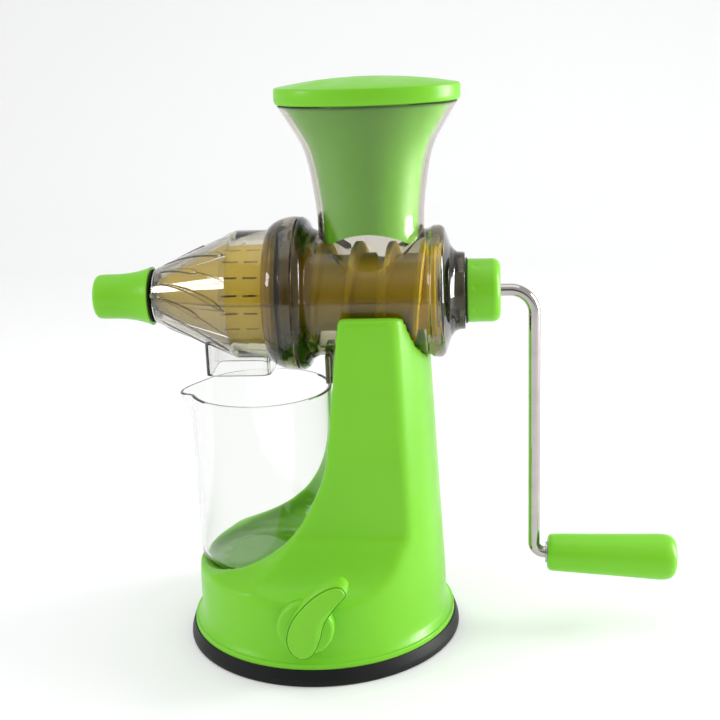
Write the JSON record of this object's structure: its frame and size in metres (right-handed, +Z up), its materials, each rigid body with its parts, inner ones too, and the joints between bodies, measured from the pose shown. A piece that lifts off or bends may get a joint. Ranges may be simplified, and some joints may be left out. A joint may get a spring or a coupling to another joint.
{
  "type": "hand cranked wheatgrass juicer",
  "caption": "Hand cranked juicer: green stand on a suction foot, smoke-clear barrel with hopper and feed screw, cone front with spout, jug and bent steel crank.",
  "frame": {"origin": "middle of the suction foot's underside, on the table", "axes": "+Z up; +X along the barrel towards the crank; -Y towards the suction lever"},
  "size_m": [0.2917, 0.1515, 0.2837],
  "materials": {
    "green_plastic": "glossy moulded",
    "smoke_plastic": "clear, tinted smoke grey",
    "clear_plastic": "clear",
    "screw_plastic": "satin",
    "white_plastic": "satin",
    "black_rubber": "satin",
    "steel": "turned",
    "chrome_steel": "polished"
  },
  "bodies": {
    "stand": {"stand": "green_plastic", "suction_cup": "black_rubber", "lever_bush": "white_plastic", "juicer_body": "smoke_plastic", "body_screws": "steel", "rear_bush": "white_plastic", "strainer": "screw_plastic", "front_gasket": "black_rubber", "front_housing": "smoke_plastic", "spout": "smoke_plastic"},
    "plate": {"suction_plate": "white_plastic"},
    "lever": {"lever": "green_plastic", "lever_shaft": "steel", "lever_clip": "steel"},
    "crank": {"auger": "screw_plastic", "drive_shaft": "steel", "shaft_seal": "black_rubber", "thrust_washer": "white_plastic", "crank_nut": "green_plastic", "crank_rod": "chrome_steel", "grip_washer": "steel", "grip_clip": "steel"},
    "grip": {"handle_grip": "green_plastic"},
    "ring": {"locking_ring": "smoke_plastic"},
    "nozzle": {"nozzle_cap": "green_plastic", "nozzle_seal": "black_rubber"},
    "pusher": {"pusher_body": "green_plastic", "pusher_lid": "green_plastic"},
    "jug": {"jug": "clear_plastic"}
  },
  "joints": [
    {"name": "crank_turn", "type": "hinge", "parent": "stand", "child": "crank", "pos_m": [0.08, 0, 0.179], "axis": [1, 0, 0], "continuous": true},
    {"name": "grip_spin", "type": "hinge", "parent": "crank", "child": "grip", "pos_m": [0.11719, 0, 0.03992], "axis": [0.9991, 0, -0.0419], "continuous": true},
    {"name": "lever_turn", "type": "hinge", "parent": "stand", "child": "lever", "pos_m": [0, -0.066, 0.0315], "axis": [0, -1, 0], "range_deg": [0, 90]},
    {"name": "suction_lift", "type": "slide", "parent": "stand", "child": "plate", "axis": [0, 0, 1], "range_m": [0, 0.00227]},
    {"name": "ring_turn", "type": "hinge", "parent": "stand", "child": "ring", "pos_m": [-0.012, 0, 0.179], "axis": [1, 0, 0], "range_deg": [0, 45]},
    {"name": "nozzle_turn", "type": "hinge", "parent": "stand", "child": "nozzle", "pos_m": [-0.095, 0, 0.179], "axis": [1, 0, 0], "range_deg": [0, 180]},
    {"name": "pusher_lift", "type": "slide", "parent": "stand", "child": "pusher", "axis": [0, 0, 1], "range_m": [0, 0.12]},
    {"name": "jug_lift", "type": "slide", "parent": "stand", "child": "jug", "axis": [0, 0, 1], "range_m": [0, 0.0035]}
  ],
  "couplings": [
    {"joint": "suction_lift", "follows": "lever_turn", "m_per_rad": 0.00144}
  ]
}
